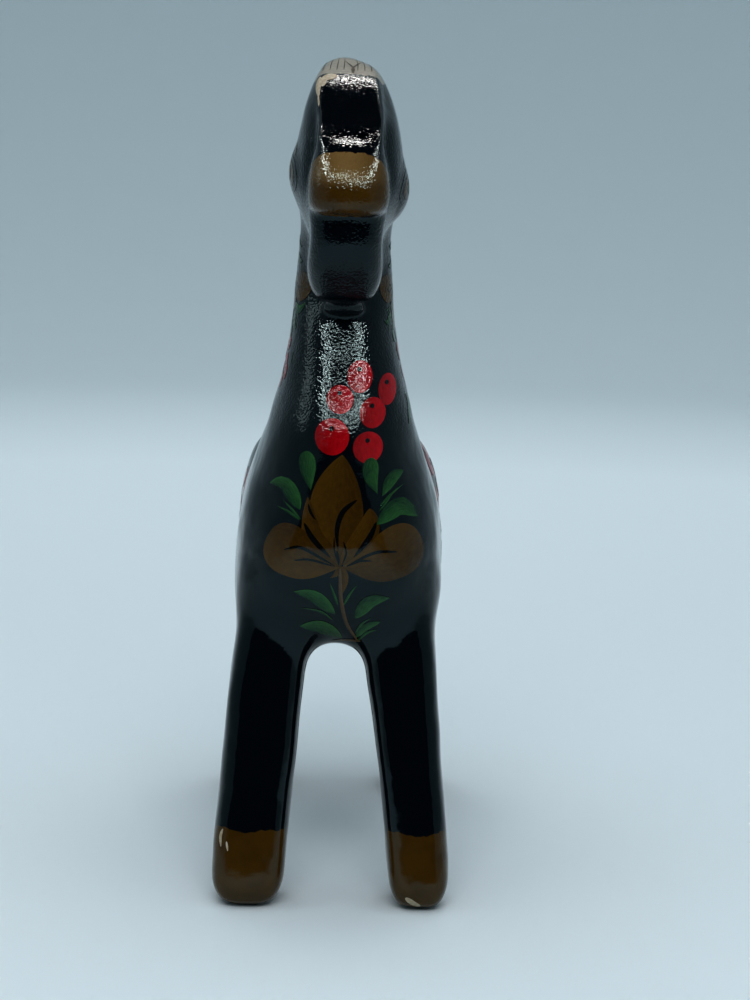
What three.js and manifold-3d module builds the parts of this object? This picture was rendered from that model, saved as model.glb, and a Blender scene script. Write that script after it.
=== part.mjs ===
// A carved and lacquered wooden animal with a long neck, standing and facing -Y.
// Millimetres, +Z up. The origin is on the ground, in the middle of the figure's length and width.
//
// The figure is carved as one blank and then taken apart at its glued joints: a torso block, a neck,
// a head, four legs and a tail, held together by hidden dowels.

import * as THREE from 'three';
import { mergeVertices } from 'three/addons/utils/BufferGeometryUtils.js';
import Module from 'manifold-3d';

const wasm = await Module();
wasm.setup();

// ---------------------------------------------------------------- driving dimensions

const JOINT_GAP = 0.3; // left open at every glued face
const SOCKET_CLEARANCE = 0.25; // all round a dowel
const SOCKET_EXTRA_DEPTH = 0.6; // beyond each end of a dowel
const DOWEL_CHAMFER = 0.8;

const RING_SIDES = 28; // points round a section of the torso, neck or head
const SMALL_RING_SIDES = 20; // points round a section of a leg or the tail
const ROD_SIDES = 16;
const LARGE = 400; // longer than anything in the figure

// The faces where the blank comes apart: a point on each, and the direction it looks.
const NECK_JOINT = { point: [0, -20, 124], towards: [0, -0.2, 1] };
const HEAD_JOINT = { point: [0, -27, 166], towards: [0, -0.66, 0.75] };
const LEG_JOINT_HEIGHT = 62;
const TAIL_JOINT_Y = 68.4;
const TAIL_HALF_ROOM = 9; // the tail's half of the space between the hind legs

// Dowels: the middle, the direction, and the size of each.
const BODY_DOWEL = { radius: 4, length: 34 };
const HEAD_DOWEL = { radius: 4, length: 30 };
const LEG_DOWEL = { radius: 3.5, length: 30 };
const TAIL_DOWEL = { radius: 2, length: 14 };

// ---------------------------------------------------------------- sections of the blank

// Each section is [position along the axis, front or low edge, back or high edge, half width].
// A power of 2 makes ellipses, and more is squarer.

const TORSO_POWER = 2.2;
const TORSO_BELT = 0.32; // how far up each section it is widest
const TORSO_ALONG_Y = [
  [-62.5, 90, 99, 6],
  [-61.5, 85, 104, 12],
  [-57.5, 76, 113, 18.5],
  [-50, 68.5, 121, 23.5],
  [-40, 66, 127, 26.6],
  [-22, 64, 130, 28],
  [-2, 63.5, 128, 28.2],
  [18, 63.5, 122, 28],
  [38, 64, 121, 27.4],
  [50, 66, 119, 26],
  [60, 71, 111, 22],
  [65.5, 78, 103, 15],
  [68, 86, 96, 7],
];

const NECK_POWER = 2.2;
const NECK_ALONG_Z = [
  [100, -60, 20, 19],
  [112, -60, 12, 20.8],
  [118, -59.3, 7, 20.5],
  [124, -57.7, 2.5, 19.5],
  [130, -55.5, -0.5, 18],
  [136, -52.8, -3.5, 16.4],
  [142, -49.9, -6, 15.1],
  [148, -47, -8, 14.1],
  [156, -43.3, -11, 13.2],
  [164, -41, -13, 12.6],
  [172, -40, -14.5, 12.1],
  [185, -41, -17, 11.8],
  [198, -42, -20, 11],
  [208, -41, -23, 9.5],
  [215, -39, -28, 6],
];

const SKULL_POWER = 3;
const SKULL_ALONG_Z = [
  [162, -48, -36, 5],
  [164, -51, -31, 7.5],
  [168, -54, -26, 8.8],
  [173, -57, -21, 9.2],
  [178.5, -60, -17, 11.6],
  [182, -62, -16, 13],
  [187.6, -63, -15.5, 14.1],
  [197, -63, -16, 13.6],
  [207, -60, -19, 11.8],
  [211.5, -58, -21, 10.3],
  [215, -56, -23.5, 8.7],
  [217.6, -54, -27, 6.8],
  [219.3, -52, -31, 4.4],
  [220, -48, -34, 2],
];

const JAW_POWER = 5;
const JAW_ALONG_Z = [
  [157.6, -53, -46, 3],
  [158.3, -56.2, -44, 5.6],
  [159.8, -59.2, -41, 7.5],
  [161.8, -61.7, -38, 8.7],
  [164.5, -64.5, -36, 9.5],
  [169.5, -68.9, -33, 9.5],
  [173.4, -71, -31, 9.2],
  [177, -70.9, -30, 9.4],
  [182, -70.2, -30, 10],
  [186, -69, -32, 9.6],
];

const MUZZLE_POWER = 2.9;
const MUZZLE_ALONG_Z = [
  [181.2, -74.5, -58, 7.6],
  [182.2, -76.8, -56, 9.2],
  [184, -77.9, -54, 10],
  [187, -77.7, -53, 10.3],
  [190, -77, -53, 10.2],
  [192, -76.2, -54, 9.9],
  [194, -75, -55, 9.5],
  [196, -73.4, -55, 9],
  [197.5, -71.9, -56, 8.5],
  [198.6, -70.6, -57, 8],
  [199.9, -67.4, -58, 6.8],
];

// The bridge of the nose, up to the forehead.
const BRIDGE_POWER = 5;
const BRIDGE_ALONG_Z = [
  [190, -67, -50, 8],
  [198, -71, -50, 8.5],
  [204, -69, -50, 8.4],
  [210, -64, -46, 8.1],
  [214, -58, -42, 7.8],
  [218, -52, -40, 6.6],
];

// A leg's section also has the distance of its middle from the figure's middle.
// The front leg on the -X side is thicker than the one on the +X side.
const LEG_POWER = 3.4;
const FRONT_LEG_RIGHT_ALONG_Z = [
  [0, -63, -52, 4.6, 21.2],
  [1.2, -65.8, -50, 6.6, 21.2],
  [4, -67.6, -47.8, 8.5, 21.2],
  [9, -67.4, -46.4, 9.5, 21],
  [25, -64.2, -44, 9.7, 20.1],
  [43, -60.4, -40, 9.8, 18.6],
  [56, -57.6, -36.5, 9.8, 17.7],
  [68, -55, -31, 9.8, 16.6],
  [80, -51, -25, 9.5, 15],
  [90, -46, -20, 8, 12],
];
const FRONT_LEG_LEFT_ALONG_Z = [
  [0, -63, -52, 4, 23.9],
  [1.2, -65.8, -50, 5.7, 23.9],
  [4, -67.6, -47.8, 7.2, 23.8],
  [9, -67.4, -46.4, 8, 23.6],
  [25, -64.2, -44, 8.3, 22.2],
  [43, -60.4, -40, 8.7, 20],
  [56, -57.6, -36.5, 9.1, 18.4],
  [68, -55, -31, 9.6, 17],
  [80, -51, -25, 9.5, 15],
  [90, -46, -20, 8, 12],
];
const HIND_LEG_ALONG_Z = [
  [0, 56, 65, 3.8, 24.2],
  [1.3, 53.6, 67.6, 5.6, 24.2],
  [4, 51.6, 69.8, 7.4, 24.2],
  [9, 50.8, 70.8, 8.3, 24.2],
  [25, 48.5, 69.5, 8.6, 23.4],
  [45, 42, 67.5, 9, 21.4],
  [62, 34, 67.5, 9.8, 18.4],
  [76, 27, 65, 10.6, 16],
  [90, 22, 58, 10, 12],
];

const TAIL_POWER = 2.2;
const TAIL_ALONG_Z = [
  [50, 71.2, 74.6, 1.8],
  [54, 69.6, 76.6, 4.2],
  [64, 68, 78, 6],
  [78, 66.5, 77.6, 6],
  [90, 63, 76, 5.4],
  [99, 58, 72.5, 4.8],
  [105, 52, 66, 4],
];

// Swellings, with their middle and half sizes, on the +X side. The eye on the -X side sits higher.
const HAUNCH = { at: [17, 46, 88], radii: [12, 22, 24] };
const EYE = { at: [10.4, -44, 186.8], radii: [4.9, 8.5, 7.5] };
const EYE_RISE = 3.2;

// Flat faces cut on the head: a point on each, and the direction it looks. FACET is on the +X side.
const CROWN_FACE = { point: [0, -50, 214.8], towards: [0, -0.36, 0.93] };
const FOREHEAD_FACE = { point: [0, -50, 214.8], towards: [0, -0.63, 0.776] };
const FACET = { point: [8.8, -56, 207], towards: [0.8, -0.36, 0.46] };
const CHIN_FACET = { point: [6.4, -70.8, 177.3], towards: [0.76, -0.6, -0.12] };

// ---------------------------------------------------------------- solids

// A number between b and c at share t, on the smooth curve through a, b, c and d.
function smoothBetween(a, b, c, d, t) {
  const slopeB = (c - a) / 2;
  const slopeC = (d - b) / 2;
  const rise = c - b;
  return b + t * (slopeB + t * (3 * rise - 2 * slopeB - slopeC + t * (slopeB + slopeC - 2 * rise)));
}

// One more section half-way between each two, so that the blank swells and tapers smoothly.
function refine(sections) {
  const last = sections.length - 1;
  const refined = [];
  for (let i = 0; i < last; i++) {
    const before = sections[Math.max(i - 1, 0)];
    const after = sections[Math.min(i + 2, last)];
    refined.push(sections[i]);
    refined.push(sections[i].map((value, k) =>
      smoothBetween(before[k], value, sections[i + 1][k], after[k], 0.5)));
  }
  refined.push(sections[last]);
  return refined;
}

// A closed skin over sections across the Y or Z axis.
function loft(axis, sections, power, sides, { mirror = 1, belt = 0.5 } = {}) {
  const rows = refine(sections);
  const points = [];
  for (const [along, low, high, halfWidth, offset = 0] of rows) {
    for (let i = 0; i < sides; i++) {
      const angle = (2 * Math.PI * i) / sides;
      const c = Math.cos(angle);
      const s = axis === 'y' ? -Math.sin(angle) : Math.sin(angle);
      const across = mirror * offset + halfWidth * Math.sign(c) * Math.abs(c) ** (2 / power);
      const reach = (high - low) * (s > 0 ? 1 - belt : belt);
      const deep = low + belt * (high - low) + reach * Math.sign(s) * Math.abs(s) ** (2 / power);
      points.push(across, axis === 'y' ? along : deep, axis === 'y' ? deep : along);
    }
  }
  const faces = [];
  for (let row = 0; row < rows.length - 1; row++) {
    for (let i = 0; i < sides; i++) {
      const a = row * sides + i;
      const b = row * sides + ((i + 1) % sides);
      faces.push(a, b, b + sides, a, b + sides, a + sides);
    }
  }
  const top = (rows.length - 1) * sides;
  for (let i = 1; i < sides - 1; i++) {
    faces.push(0, i + 1, i);
    faces.push(top, top + i, top + i + 1);
  }
  const geometry = new THREE.BufferGeometry();
  geometry.setAttribute('position', new THREE.Float32BufferAttribute(points, 3));
  geometry.setIndex(faces);
  return geometry;
}

function toSolid(source) {
  const geometry = source.clone();
  geometry.deleteAttribute('normal');
  geometry.deleteAttribute('uv');
  const merged = mergeVertices(geometry, 1e-4);
  return new wasm.Manifold(new wasm.Mesh({
    numProp: 3,
    vertProperties: new Float32Array(merged.attributes.position.array),
    triVerts: new Uint32Array(merged.index.array),
  }));
}

function toGeometry(solid) {
  const mesh = solid.getMesh();
  const geometry = new THREE.BufferGeometry();
  geometry.setAttribute('position', new THREE.BufferAttribute(new Float32Array(mesh.vertProperties), 3));
  geometry.setIndex(new THREE.BufferAttribute(new Uint32Array(mesh.triVerts), 1));
  geometry.computeVertexNormals();
  return geometry;
}

function swelling({ at, radii }, side, rise = 0) {
  const ball = new THREE.SphereGeometry(1, 24, 12).rotateX(Math.PI / 2).scale(...radii);
  return toSolid(ball.translate(side * at[0], at[1], at[2] + rise));
}

// Everything on the far side of a face, in the direction it looks.
function beyond(point, towards, gap = JOINT_GAP / 2) {
  const direction = new THREE.Vector3(...towards).normalize();
  const block = new THREE.BoxGeometry(LARGE, LARGE, LARGE);
  block.applyQuaternion(new THREE.Quaternion().setFromUnitVectors(new THREE.Vector3(0, 0, 1), direction));
  const middle = new THREE.Vector3(...point).addScaledVector(direction, gap + LARGE / 2);
  return toSolid(block.translate(middle.x, middle.y, middle.z));
}

function opposite(direction) {
  return direction.map((value) => -value);
}

// A round rod along Z with a small chamfer at both ends.
function rod(radius, length, chamfer) {
  const half = length / 2;
  const profile = [
    new THREE.Vector2(0, -half),
    new THREE.Vector2(radius - chamfer, -half),
    new THREE.Vector2(radius, -half + chamfer),
    new THREE.Vector2(radius, half - chamfer),
    new THREE.Vector2(radius - chamfer, half),
    new THREE.Vector2(0, half),
  ];
  return new THREE.LatheGeometry(profile, ROD_SIDES).rotateX(Math.PI / 2);
}

// ---------------------------------------------------------------- dowels

const upTheNeck = new THREE.Vector3(...NECK_JOINT.towards).normalize();
const intoTheHead = new THREE.Vector3(...HEAD_JOINT.towards).normalize();
const up = new THREE.Vector3(0, 0, 1);
const backwards = new THREE.Vector3(0, 1, 0);

// A point on the neck's joint, this far forward of its middle.
function onNeckJoint(forward) {
  const [, y, z] = NECK_JOINT.point;
  const slope = -NECK_JOINT.towards[1] / NECK_JOINT.towards[2];
  return [0, y - forward, z - forward * slope];
}

const dowels = [
  { name: 'neck_dowel_front', at: onNeckJoint(14), along: upTheNeck, ...BODY_DOWEL },
  { name: 'neck_dowel_back', at: onNeckJoint(-7), along: upTheNeck, ...BODY_DOWEL },
  { name: 'head_dowel', at: HEAD_JOINT.point, along: intoTheHead, ...HEAD_DOWEL },
  { name: 'front_leg_dowel_right', at: [-17.6, -45, LEG_JOINT_HEIGHT], along: up, ...LEG_DOWEL },
  { name: 'front_leg_dowel_left', at: [17.6, -45, LEG_JOINT_HEIGHT], along: up, ...LEG_DOWEL },
  { name: 'hind_leg_dowel_right', at: [-19.4, 52, LEG_JOINT_HEIGHT], along: up, ...LEG_DOWEL },
  { name: 'hind_leg_dowel_left', at: [19.4, 52, LEG_JOINT_HEIGHT], along: up, ...LEG_DOWEL },
  { name: 'tail_dowel', at: [0, TAIL_JOINT_Y - 3, 90], along: backwards, ...TAIL_DOWEL },
];

function place(geometry, dowel) {
  geometry.applyQuaternion(new THREE.Quaternion().setFromUnitVectors(up, dowel.along));
  return geometry.translate(...dowel.at);
}

function socket(dowel) {
  const radius = dowel.radius + SOCKET_CLEARANCE;
  const length = dowel.length + 2 * SOCKET_EXTRA_DEPTH;
  return toSolid(place(rod(radius, length, DOWEL_CHAMFER), dowel));
}

// ---------------------------------------------------------------- the blank, and its pieces

const SIDES = [-1, 1];

function bodyLoft(axis, sections, power, belt) {
  return toSolid(loft(axis, sections, power, RING_SIDES, { belt }));
}

function legLoft(sections, side) {
  return toSolid(loft('z', sections, LEG_POWER, SMALL_RING_SIDES, { mirror: side }));
}

function shaved(solid, { point: [x, y, z], towards: [dx, dy, dz] }, side = 1) {
  return solid.subtract(beyond([side * x, y, z], [side * dx, dy, dz], 0));
}

function flattenedOnTop(solid) {
  return shaved(shaved(solid, CROWN_FACE), FOREHEAD_FACE);
}

function carveHead() {
  let skull = flattenedOnTop(bodyLoft('z', SKULL_ALONG_Z, SKULL_POWER));
  let jaw = bodyLoft('z', JAW_ALONG_Z, JAW_POWER);
  for (const side of SIDES) {
    skull = shaved(skull, FACET, side);
    jaw = shaved(jaw, CHIN_FACET, side);
  }
  const bridge = flattenedOnTop(bodyLoft('z', BRIDGE_ALONG_Z, BRIDGE_POWER));
  const muzzle = bodyLoft('z', MUZZLE_ALONG_Z, MUZZLE_POWER);
  const rightEye = swelling(EYE, -1, EYE_RISE);
  const leftEye = swelling(EYE, 1);
  return [bridge, jaw, muzzle, rightEye, leftEye].reduce((head, part) => head.add(part), skull);
}

const blank = [
  bodyLoft('y', TORSO_ALONG_Y, TORSO_POWER, TORSO_BELT),
  bodyLoft('z', NECK_ALONG_Z, NECK_POWER),
  carveHead(),
  legLoft(FRONT_LEG_RIGHT_ALONG_Z, -1),
  legLoft(FRONT_LEG_LEFT_ALONG_Z, 1),
  ...SIDES.map((side) => legLoft(HIND_LEG_ALONG_Z, side)),
  ...SIDES.map((side) => swelling(HAUNCH, side)),
  toSolid(loft('z', TAIL_ALONG_Z, TAIL_POWER, SMALL_RING_SIDES)),
].reduce((whole, part) => whole.add(part));

const bored = dowels.reduce((whole, dowel) => whole.subtract(socket(dowel)), blank);

const aboveNeckJoint = beyond(NECK_JOINT.point, NECK_JOINT.towards);
const belowNeckJoint = beyond(NECK_JOINT.point, opposite(NECK_JOINT.towards));
const headSide = beyond(HEAD_JOINT.point, HEAD_JOINT.towards);
const neckSide = beyond(HEAD_JOINT.point, opposite(HEAD_JOINT.towards));
const aboveLegs = beyond([0, 0, LEG_JOINT_HEIGHT], [0, 0, 1]);
const belowTorso = beyond([0, 0, LEG_JOINT_HEIGHT], [0, 0, -1]);
const rightSide = beyond([0, 0, 0], [-1, 0, 0], 0);
const leftSide = beyond([0, 0, 0], [1, 0, 0], 0);
const frontHalf = beyond([0, 0, 0], [0, -1, 0], 0);
const backHalf = beyond([0, 0, 0], [0, 1, 0], 0);

// The space behind the rump that only the tail takes, wider by the gap where it is cut from the torso.
function tailSpace(gap) {
  const slot = new THREE.BoxGeometry(2 * TAIL_HALF_ROOM, LARGE, LARGE);
  return toSolid(slot.translate(0, TAIL_JOINT_Y + gap + LARGE / 2, 0));
}

const trunk = bored.subtract(tailSpace(-JOINT_GAP / 2));
const legs = trunk.intersect(belowTorso);

const pieces = {
  torso: trunk.intersect(belowNeckJoint).intersect(aboveLegs),
  neck: bored.intersect(aboveNeckJoint).intersect(neckSide),
  head: bored.intersect(aboveNeckJoint).intersect(headSide),
  front_leg_right: legs.intersect(frontHalf).intersect(rightSide),
  front_leg_left: legs.intersect(frontHalf).intersect(leftSide),
  hind_leg_right: legs.intersect(backHalf).intersect(rightSide),
  hind_leg_left: legs.intersect(backHalf).intersect(leftSide),
  tail: bored.intersect(tailSpace(JOINT_GAP / 2)),
};

// ---------------------------------------------------------------- the scene graph

const figure = new THREE.Group();

for (const [name, solid] of Object.entries(pieces)) {
  const lacquer = new THREE.MeshStandardMaterial({ color: 0x090b0e, roughness: 0.12, metalness: 0 });
  const mesh = new THREE.Mesh(toGeometry(solid), lacquer);
  mesh.name = name;
  figure.add(mesh);
}

for (const dowel of dowels) {
  const birch = new THREE.MeshStandardMaterial({ color: 0xcdb083, roughness: 0.7, metalness: 0 });
  const mesh = new THREE.Mesh(rod(dowel.radius, dowel.length, DOWEL_CHAMFER), birch);
  mesh.name = dowel.name;
  mesh.quaternion.setFromUnitVectors(up, dowel.along);
  mesh.position.set(...dowel.at);
  figure.add(mesh);
}

export default figure;
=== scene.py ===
"""A carved, black-lacquered and hand-painted wooden animal with a long neck.

The figure is worked out once as a smooth solid, on a grid of distances to its surface, and then sawn
at the same glued joints as the CAD model. Every carved piece replaces its CAD node. The painted
decoration is laid on as thin films of paint that follow the carving.
"""

import math

import bmesh
import bpy
import numpy as np
from mathutils import Matrix, Vector
from mathutils.bvhtree import BVHTree


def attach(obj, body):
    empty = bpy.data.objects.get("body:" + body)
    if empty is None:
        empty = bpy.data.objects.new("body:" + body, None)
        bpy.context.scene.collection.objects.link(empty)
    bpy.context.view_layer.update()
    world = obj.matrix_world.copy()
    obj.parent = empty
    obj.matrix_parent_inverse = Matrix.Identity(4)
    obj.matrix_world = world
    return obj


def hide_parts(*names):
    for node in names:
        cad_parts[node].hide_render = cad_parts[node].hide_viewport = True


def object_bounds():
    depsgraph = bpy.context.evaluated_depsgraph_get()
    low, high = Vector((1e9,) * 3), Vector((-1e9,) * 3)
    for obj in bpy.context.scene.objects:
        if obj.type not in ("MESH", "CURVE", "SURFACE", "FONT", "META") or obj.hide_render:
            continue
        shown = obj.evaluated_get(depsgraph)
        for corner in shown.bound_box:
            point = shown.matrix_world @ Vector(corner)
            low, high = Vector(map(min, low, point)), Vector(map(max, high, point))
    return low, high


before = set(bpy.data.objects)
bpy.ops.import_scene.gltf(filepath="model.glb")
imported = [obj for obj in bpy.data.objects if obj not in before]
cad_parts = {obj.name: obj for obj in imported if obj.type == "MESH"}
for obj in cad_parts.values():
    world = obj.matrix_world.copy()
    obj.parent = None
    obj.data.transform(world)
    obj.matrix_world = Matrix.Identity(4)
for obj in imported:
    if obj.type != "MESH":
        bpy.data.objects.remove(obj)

# ------------------------------------------------------------------ size

cad_low, cad_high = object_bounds()
FIGURE_HEIGHT = 220  # the figure's own millimetres
MM = (cad_high.z - cad_low.z) / FIGURE_HEIGHT  # metres in one of them

GRID_STEP = 0.8
GRID_MARGIN = 4.0

# ------------------------------------------------------------------ the grid


def grid_line(low, high):
    return np.arange(low / MM - GRID_MARGIN, high / MM + GRID_MARGIN, GRID_STEP)


line_x = grid_line(cad_low.x, cad_high.x)
line_y = grid_line(cad_low.y, cad_high.y)
line_z = grid_line(cad_low.z, cad_high.z)
# The carving isn't quite symmetrical: its middle wanders to one side by this much at each height.
LEAN = [
    (0, 0), (60, 0.1), (84, 0.7), (102, 0.8), (118, 0.5), (135, 0.7), (150, 0.2),
    (172, 0.4), (185, 0.9), (204, 0.95), (209.5, 0.65), (214.5, 0.35), (217, 0.1), (220, -0.8),
]
lean = np.interp(line_z, *zip(*LEAN))
GRID_X = (line_x[:, None, None] - lean[None, None, :]).astype(np.float32)
GRID_Y = line_y[None, :, None].astype(np.float32)
GRID_Z = line_z[None, None, :].astype(np.float32)


GENTLEST, STEEPEST = 0.5, 12  # limits on the slope that a field is divided by


def even(field):
    """The field divided by its own slope, so that it counts true millimetres near the surface."""
    slopes = np.gradient(field, GRID_STEP)
    steepness = np.sqrt(sum(s * s for s in slopes))
    return field / np.clip(steepness, GENTLEST, STEEPEST)


def join(a, b, blend):
    """Both solids, with a fillet about as wide as blend."""
    overlap = np.maximum(blend - np.abs(a - b), 0) / blend
    return np.minimum(a, b) - overlap * overlap * blend / 4


def cut(a, b, blend):
    """What lies in both solids, with the edge between them eased."""
    return -join(-a, -b, blend)


def refined(sections, steps=8):
    """Rows on the smooth curve through the sections."""
    rows = np.array(sections, float)
    before = np.vstack([rows[:1], rows[:-2]])
    after = np.vstack([rows[2:], rows[-1:]])
    start, end = rows[:-1], rows[1:]
    fine = []
    for t in np.arange(steps) / steps:
        slope_start, slope_end = (end - before) / 2, (after - start) / 2
        rise = end - start
        bend = 3 * rise - 2 * slope_start - slope_end
        turn = slope_start + slope_end - 2 * rise
        fine.append(start + t * (slope_start + t * (bend + t * turn)))
    fine = np.stack(fine, axis=1).reshape(-1, rows.shape[1])
    return np.vstack([fine, rows[-1:]])


def swept(axis, sections, power, belt=0.5, offset_sign=1):
    """A solid through sections across Y or Z: [place, low or front, high or back, half width, offset].
    belt is the share of each section's height where it is widest."""
    rows = refined(sections)
    line = line_y if axis == "y" else line_z
    shape = (1, -1, 1) if axis == "y" else (1, 1, -1)
    columns = [np.interp(line, rows[:, 0], rows[:, k]).reshape(shape) for k in range(1, rows.shape[1])]
    low, high, half = (c.astype(np.float32) for c in columns[:3])
    offset = offset_sign * columns[3].astype(np.float32) if len(columns) > 3 else 0
    middle = low + belt * (high - low)
    side = GRID_X - offset
    rise = (GRID_Z if axis == "y" else GRID_Y) - middle
    reach = np.where(rise > 0, high - middle, middle - low)
    ratio = ((np.abs(side) / half) ** power + (np.abs(rise) / reach) ** power) ** (1 / power)
    radius = np.hypot(side, rise)
    field = radius - radius / np.maximum(ratio, 1e-3)
    along = line.reshape(shape).astype(np.float32)
    ends = np.maximum(rows[0, 0] - along, along - rows[-1, 0])
    return even(np.maximum(field, ends))


def ball(middle, radii, power=2.0):
    """An ellipsoid, or a rounded block when the power is above 2."""
    away = [(g - m) for g, m in zip((GRID_X, GRID_Y, GRID_Z), middle)]
    ratio = sum((np.abs(a) / r) ** power for a, r in zip(away, radii)) ** (1 / power)
    reach = np.sqrt(sum(a * a for a in away))
    return even(reach - reach / np.maximum(ratio, 1e-3))


def plane(point, outwards):
    """Everything behind a flat face."""
    out = np.array(outwards, float) / np.linalg.norm(outwards)
    steps = [(g - p) * n for g, p, n in zip((GRID_X, GRID_Y, GRID_Z), point, out)]
    return (steps[0] + steps[1] + steps[2]).astype(np.float32)


# ------------------------------------------------------------------ the carving

TORSO = [
    [-62.9, 93.5, 96.5, 2.5],
    [-62.6, 90.5, 99.5, 6.5],
    [-61.5, 85, 104, 12],
    [-57.5, 76, 113, 18.5],
    [-50, 68.5, 121, 23.5],
    [-40, 66, 127, 26.6],
    [-22, 64, 130, 28.0],
    [-2, 63.5, 128, 28.2],
    [18, 63.5, 122, 28.0],
    [38, 64, 121, 27.4],
    [50, 66, 119, 26],
    [60, 71, 111, 22],
    [65.5, 78, 103, 15],
    [68, 86, 96, 7],
]
NECK = [
    [104, -60.5, 16, 20],
    [112, -60.2, 12, 20.6],
    [118, -59.3, 7, 20.4],
    [124, -57.7, 2.5, 19.5],
    [130, -55.5, -0.5, 18],
    [136, -52.8, -3.5, 16.4],
    [142, -49.9, -6, 15.1],
    [148, -47, -8, 14.1],
    [156, -43.3, -11, 13.2],
    [164, -41, -13, 12.6],
    [172, -40, -14.5, 12.1],
    [185, -41, -17, 11.8],
    [198, -42, -20, 11],
    [208, -41, -23, 9.5],
    [215, -39, -28, 6],
]
SKULL = [
    [162, -48, -36, 5],
    [164, -51, -31, 7.5],
    [168, -54, -26, 8.8],
    [173, -57, -21, 9.2],
    [178.5, -60, -17, 11.6],
    [182, -62, -16, 13.0],
    [187.6, -63, -15.5, 14.1],
    [192, -63, -15.5, 14.0],
    [197, -63, -16, 13.6],
    [202, -62, -17, 12.9],
    [207, -60, -19, 11.8],
    [211.5, -58, -21, 10.3],
    [215, -56, -23.5, 8.7],
    [217.6, -54, -27, 6.8],
    [219.3, -52, -31, 4.4],
    [220.2, -48, -34, 2.0],
]
JAW = [
    [157.6, -53, -46, 3.0],
    [158.3, -56.2, -44, 5.6],
    [159.8, -59.2, -41, 7.5],
    [161.8, -61.7, -38, 8.7],
    [164.5, -64.5, -36, 9.5],
    [167, -66.9, -34, 9.7],
    [169.5, -68.9, -33, 9.5],
    [171.6, -70.3, -32, 9.3],
    [173.4, -71.0, -31, 9.2],
    [177, -70.9, -30, 9.4],
    [182, -70.2, -30, 10.2],
    [186, -69, -32, 10],
]
MUZZLE = [
    [181.2, -74.5, -58, 7.6],
    [182.2, -76.8, -56, 9.2],
    [184, -77.9, -54, 10.0],
    [187, -77.7, -53, 10.3],
    [190, -77.0, -53, 10.2],
    [192, -76.2, -54, 9.9],
    [194, -75.0, -55, 9.5],
    [196, -73.4, -55, 9.0],
    [197.5, -71.9, -56, 8.5],
    [198.6, -70.6, -57, 8.0],
    [199.4, -69.0, -58, 7.4],
    [199.9, -67.4, -58, 6.8],
]
BRIDGE = [
    [190, -67, -50, 8.0],
    [198, -71, -50, 8.5],
    [204, -69, -50, 8.4],
    [210, -64, -46, 8.1],
    [214, -58, -42, 7.8],
    [218, -52, -40, 6.6],
]

FRONT_LEG_RIGHT = [
    [0, -63, -52, 4.6, 21.2],
    [1.2, -65.8, -50, 6.6, 21.2],
    [4, -67.6, -47.8, 8.5, 21.2],
    [9, -67.4, -46.4, 9.5, 21.0],
    [25, -64.2, -44, 9.7, 20.1],
    [43, -60.4, -40, 9.8, 18.6],
    [56, -57.6, -36.5, 9.8, 17.7],
    [68, -55, -31, 9.8, 16.6],
    [80, -51, -25, 9.5, 15],
    [90, -46, -20, 8, 12],
]
FRONT_LEG_LEFT = [
    [0, -63, -52, 4.0, 23.9],
    [1.2, -65.8, -50, 5.7, 23.9],
    [4, -67.6, -47.8, 7.2, 23.8],
    [9, -67.4, -46.4, 8.0, 23.6],
    [25, -64.2, -44, 8.3, 22.2],
    [43, -60.4, -40, 8.7, 20.0],
    [56, -57.6, -36.5, 9.1, 18.4],
    [68, -55, -31, 9.6, 17.0],
    [80, -51, -25, 9.5, 15],
    [90, -46, -20, 8, 12],
]
HIND_LEG = [
    [0, 56, 65, 3.8, 24.2],
    [1.3, 53.6, 67.6, 5.6, 24.2],
    [4, 51.6, 69.8, 7.4, 24.2],
    [9, 50.8, 70.8, 8.3, 24.2],
    [25, 48.5, 69.5, 8.6, 23.4],
    [45, 42, 67.5, 9, 21.4],
    [62, 34, 67.5, 9.8, 18.4],
    [76, 27, 65, 10.6, 16],
    [90, 22, 58, 10, 12],
]
TAIL = [
    [50, 71.2, 74.6, 1.8],
    [54, 69.6, 76.6, 4.2],
    [64, 68, 78, 6],
    [78, 66.5, 77.6, 6],
    [90, 63, 76, 5.4],
    [99, 58, 72.5, 4.8],
    [105, 52, 66, 4],
]


# Flat faces that the knife left on the head: which way each looks, and a point on it.
BROW = (0, -50, 214.8)  # on the line where the forehead meets the crown
CROWN_FACE = (0, -0.36, 0.93)
FOREHEAD_FACE = (0, -0.63, 0.776)
TEMPLE_FACE = (0.8, -0.36, 0.46)  # on the left; the right one is its mirror image
TEMPLE_REACH = {-1: 9.3, 1: 8.3}  # the two temples aren't cut equally deep
TEMPLE_Y, TEMPLE_Z = -56, 207
CHIN_FACE = (0.76, -0.6, -0.12)
CHIN_SPOT = (6.4, -70.8, 177.3)

# Rounded swellings: the middle, and the radii across, along and up.
THROAT_RIDGE = ((0, -45.6, 156.0), (6.0, 3.6, 1.5))
EYE_HEIGHT = {-1: 190.0, 1: 186.8}
EYE_ACROSS, EYE_Y = 10.4, -44
EYE_RADII = (4.9, 8.5, 7.5)
HAUNCH_ACROSS, HAUNCH_Y, HAUNCH_Z = 17, 46, 88
HAUNCH_RADII = (12, 22, 24)

SIDES = (-1, 1)  # the animal's right, and its left


def mirrored(vector, side):
    return (side * vector[0], vector[1], vector[2])


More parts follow.
